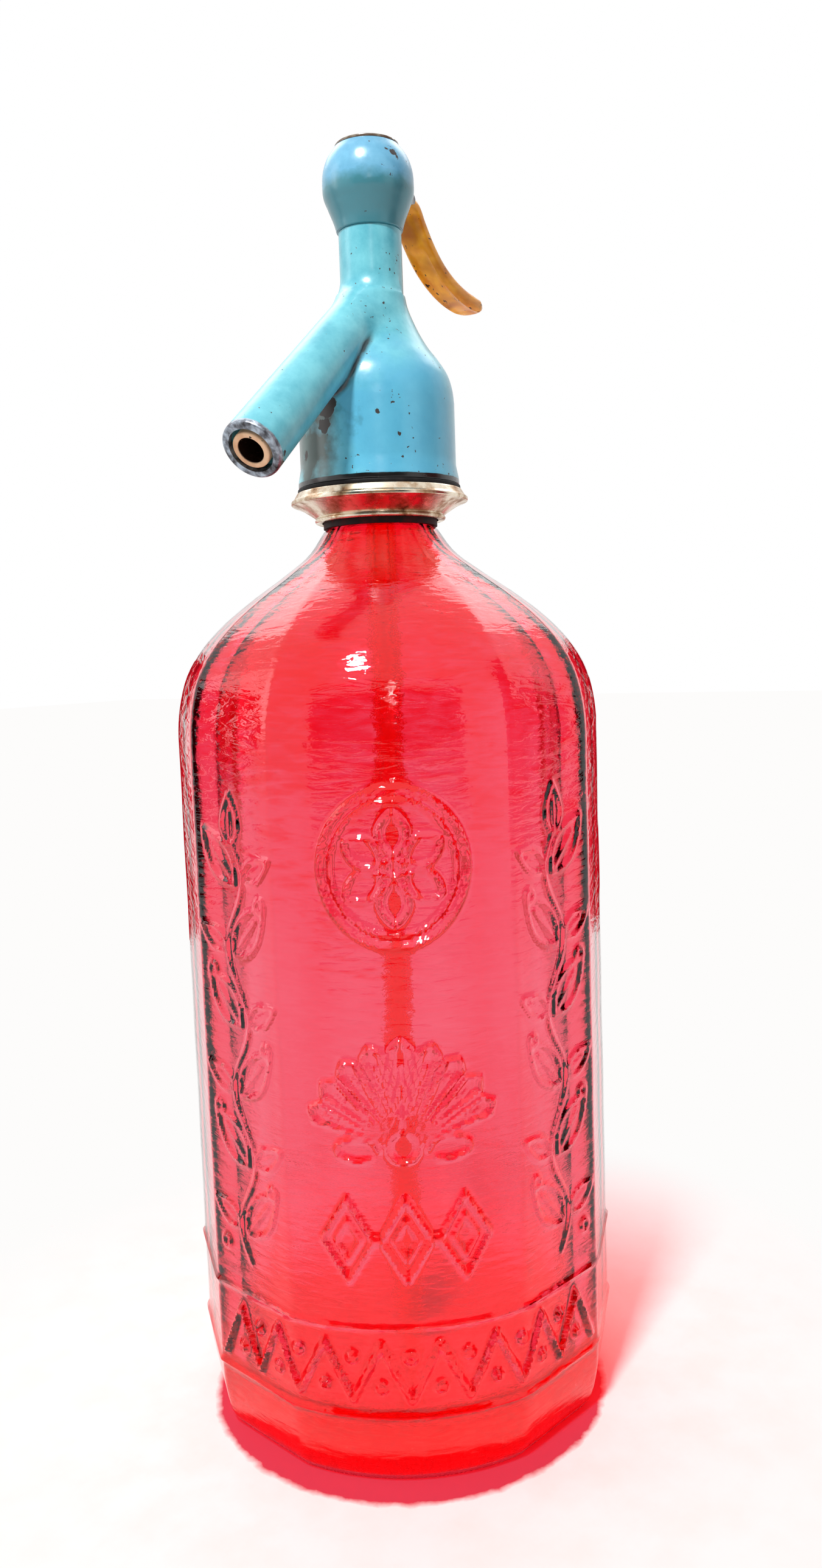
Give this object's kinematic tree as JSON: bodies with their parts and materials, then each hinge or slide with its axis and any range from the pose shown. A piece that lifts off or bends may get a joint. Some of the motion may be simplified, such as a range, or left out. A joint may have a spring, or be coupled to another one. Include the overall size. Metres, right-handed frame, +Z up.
{
  "type": "soda siphon",
  "caption": "Soda siphon: faceted red glass bottle under a painted cast head with a slanting spout and a thumb lever that lifts a spring-loaded valve.",
  "frame": {"origin": "centre of the bottle's flat base, on the bottle's axis", "axes": "+Z up the bottle's axis, -X the way the spout points, +X the way the lever reaches, Y along the lever's pin"},
  "size_m": [0.1011, 0.0998, 0.2914],
  "materials": {
    "red_glass": "polished, moulded relief",
    "black_rubber": "matte",
    "pewter": "dull, spotted",
    "turquoise_enamel": "gloss enamel, worn",
    "cream_plastic": "satin",
    "clear_tube": "clear",
    "brass": "turned",
    "steel": "plain",
    "amber_plastic": "moulded, marbled"
  },
  "bodies": {
    "siphon": {"glass_bottle": "red_glass", "neck_sleeve": "black_rubber", "collar_gasket": "black_rubber", "bottle_seal": "black_rubber", "packing_washer": "black_rubber", "tube_sleeve": "black_rubber", "split_ring_front": "pewter", "split_ring_rear": "pewter", "neck_collar": "pewter", "head_body": "turquoise_enamel", "lever_housing": "turquoise_enamel", "top_cap": "turquoise_enamel", "head_liner": "cream_plastic", "spout_liner": "cream_plastic", "tube_nut": "cream_plastic", "dip_tube": "clear_tube", "valve_seat": "brass", "packing_nut": "brass", "lever_pin": "steel", "return_spring": "steel"},
    "lever": {"lever_arm": "steel", "lever_grip": "amber_plastic"},
    "valve": {"valve_stem": "brass", "stem_head": "brass", "valve_washer": "black_rubber", "washer_screw": "brass", "spring_washer": "brass"}
  },
  "joints": [
    {"name": "lever_press", "type": "hinge", "parent": "siphon", "child": "lever", "pos_m": [0.0069, 0, 0.2799], "axis": [0, 1, 0], "range_deg": [0, 20], "stiffness_Nm_per_rad": 0.3, "springref_deg": -20.05},
    {"name": "valve_lift", "type": "slide", "parent": "siphon", "child": "valve", "axis": [0, 0, 1], "range_m": [0, 0.00237], "deforming": ["return_spring"]}
  ],
  "couplings": [
    {"joint": "lever_press", "follows": "valve_lift", "rad_per_m": 147.06}
  ]
}
